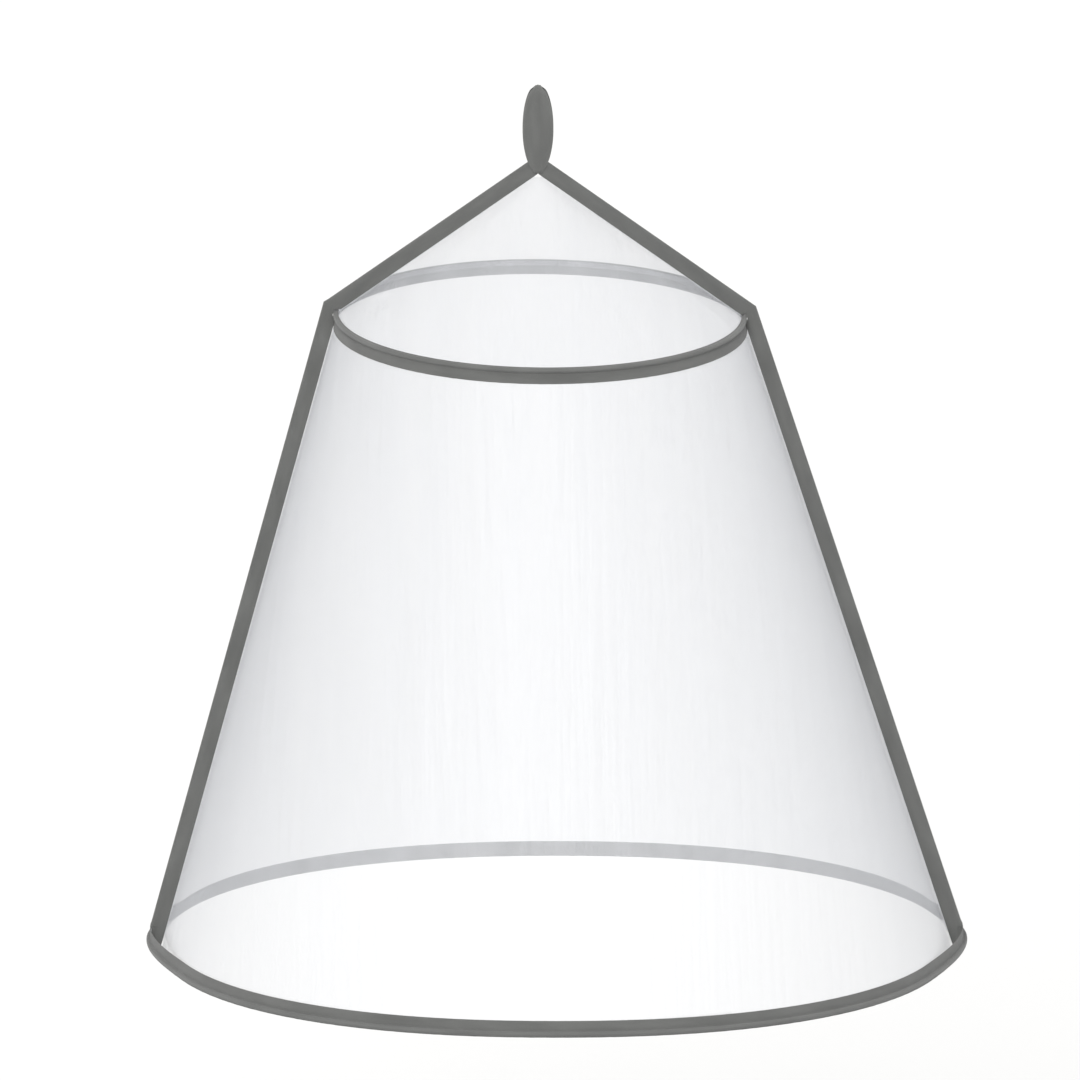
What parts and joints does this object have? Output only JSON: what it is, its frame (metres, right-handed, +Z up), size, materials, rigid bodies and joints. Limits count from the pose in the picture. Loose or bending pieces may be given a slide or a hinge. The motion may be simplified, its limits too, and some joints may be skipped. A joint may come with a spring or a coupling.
{
  "type": "mosquito net canopy",
  "caption": "Conical sheer net canopy on a strap loop, with taped hoops at eaves and hem and bound side seams, open below.",
  "frame": {"origin": "where the hook bears inside the top of the hanging loop", "axes": "+Z up along the cone; +X to the right along the plane of the two side seams; front at -Y"},
  "size_m": [2.5859, 2.512, 2.7909],
  "materials": {
    "netting": "fine white polyester mesh, sheer, matt",
    "grey_tape": "dark grey twill tape, stitched along its edges",
    "grey_strap": "dark grey woven strap, bunched at both ends"
  },
  "bodies": {
    "root": {"roof_net_front": "netting", "roof_net_back": "netting", "skirt_net_front": "netting", "skirt_net_back": "netting", "hoop_sleeve": "grey_tape", "hem_sleeve": "grey_tape", "side_tape_left": "grey_tape", "side_tape_right": "grey_tape", "hanging_loop": "grey_strap"}
  },
  "joints": []
}
